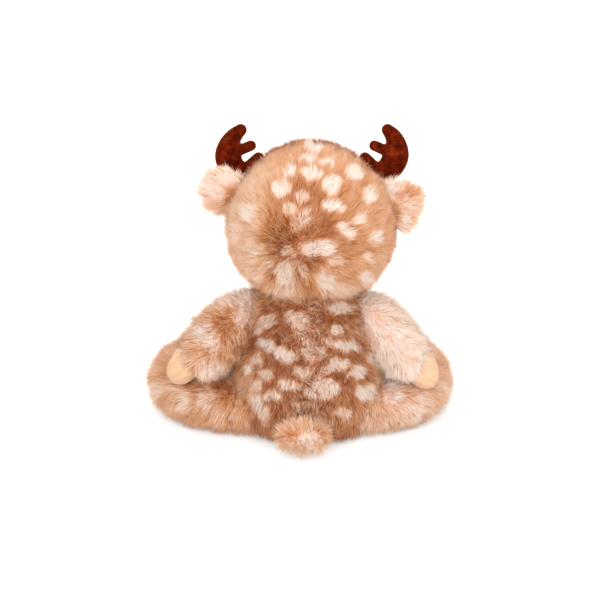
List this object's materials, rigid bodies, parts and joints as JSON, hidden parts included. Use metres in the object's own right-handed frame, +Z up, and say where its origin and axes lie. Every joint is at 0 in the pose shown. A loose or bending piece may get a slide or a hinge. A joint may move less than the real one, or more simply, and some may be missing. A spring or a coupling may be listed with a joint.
{
  "type": "plush deer",
  "caption": "Seated plush deer with long spotted fur, padded velour antlers, suede hooves and a fluffy tail; its head, arms, legs, ears and tail move",
  "frame": {"origin": "on the floor under the neck, on the body's flat seat", "axes": "+Z up; -Y is the way the deer faces; +X is the deer's own left side"},
  "size_m": [0.275, 0.2412, 0.2745],
  "materials": {
    "spotted_fur": "matte",
    "short_plush": "matte",
    "ear_lining": "matte",
    "velour": "matte",
    "suede": "matte",
    "fibre": "matte",
    "pellet_cloth": "matte",
    "dark_bead": "gloss",
    "nose_plastic": "satin",
    "washer_plastic": "matte"
  },
  "bodies": {
    "torso": {"body_skin": "spotted_fur", "body_stuffing": "fibre", "pellet_bag": "pellet_cloth"},
    "neck": {"neck_stuffing": "fibre"},
    "head": {"head_skin": "spotted_fur", "head_stuffing": "fibre", "muzzle_skin": "short_plush", "muzzle_stuffing": "fibre", "nose": "nose_plastic", "nose_washer": "washer_plastic", "eye_left": "dark_bead", "eye_right": "dark_bead", "eye_washer_left": "washer_plastic", "eye_washer_right": "washer_plastic", "antler_left": "velour", "antler_right": "velour", "antler_stuffing_left": "fibre", "antler_stuffing_right": "fibre"},
    "left_ear": {"ear_left": "spotted_fur", "ear_lining_left": "ear_lining"},
    "right_ear": {"ear_right": "spotted_fur", "ear_lining_right": "ear_lining"},
    "left_arm": {"arm_skin_left": "spotted_fur", "arm_stuffing_left": "fibre", "hand_hoof_left": "suede"},
    "right_arm": {"arm_skin_right": "spotted_fur", "arm_stuffing_right": "fibre", "hand_hoof_right": "suede"},
    "left_leg": {"leg_skin_left": "spotted_fur", "leg_stuffing_left": "fibre", "foot_hoof_left": "suede"},
    "right_leg": {"leg_skin_right": "spotted_fur", "leg_stuffing_right": "fibre", "foot_hoof_right": "suede"},
    "tail": {"tail_skin": "spotted_fur", "tail_stuffing": "fibre"}
  },
  "joints": [
    {"name": "neck_turn", "type": "hinge", "parent": "torso", "child": "neck", "pos_m": [-0.003, -0.01, 0.168], "axis": [0, 0, 1], "range_deg": [-20, 20], "stiffness_Nm_per_rad": 0.4},
    {"name": "neck_nod", "type": "hinge", "parent": "neck", "child": "head", "pos_m": [-0.003, -0.01, 0.168], "axis": [1, 0, 0], "range_deg": [-6, 10], "stiffness_Nm_per_rad": 0.6},
    {"name": "left_shoulder", "type": "hinge", "parent": "torso", "child": "left_arm", "pos_m": [0.05, 0, 0.106], "axis": [0, -1, 0], "range_deg": [0, 30]},
    {"name": "left_hip", "type": "hinge", "parent": "torso", "child": "left_leg", "pos_m": [0.05, 0.026, 0.0265], "axis": [1, 0, 0], "range_deg": [0, 30]},
    {"name": "left_ear_fold", "type": "hinge", "parent": "head", "child": "left_ear", "pos_m": [0.06466, -0.004, 0.21672], "axis": [-0.309, 0, 0.9511], "range_deg": [-6, 20], "stiffness_Nm_per_rad": 0.02},
    {"name": "right_shoulder", "type": "hinge", "parent": "torso", "child": "right_arm", "pos_m": [-0.05, 0, 0.106], "axis": [0, 1, 0], "range_deg": [0, 30]},
    {"name": "right_hip", "type": "hinge", "parent": "torso", "child": "right_leg", "pos_m": [-0.05, 0.026, 0.0265], "axis": [1, 0, 0], "range_deg": [0, 30]},
    {"name": "right_ear_fold", "type": "hinge", "parent": "head", "child": "right_ear", "pos_m": [-0.07462, -0.004, 0.20453], "axis": [-0.4695, 0, -0.8829], "range_deg": [-6, 20], "stiffness_Nm_per_rad": 0.02},
    {"name": "tail_lift", "type": "hinge", "parent": "torso", "child": "tail", "pos_m": [0.004, 0.073, 0.0205], "axis": [1, 0, 0], "range_deg": [0, 24], "stiffness_Nm_per_rad": 0.03}
  ]
}
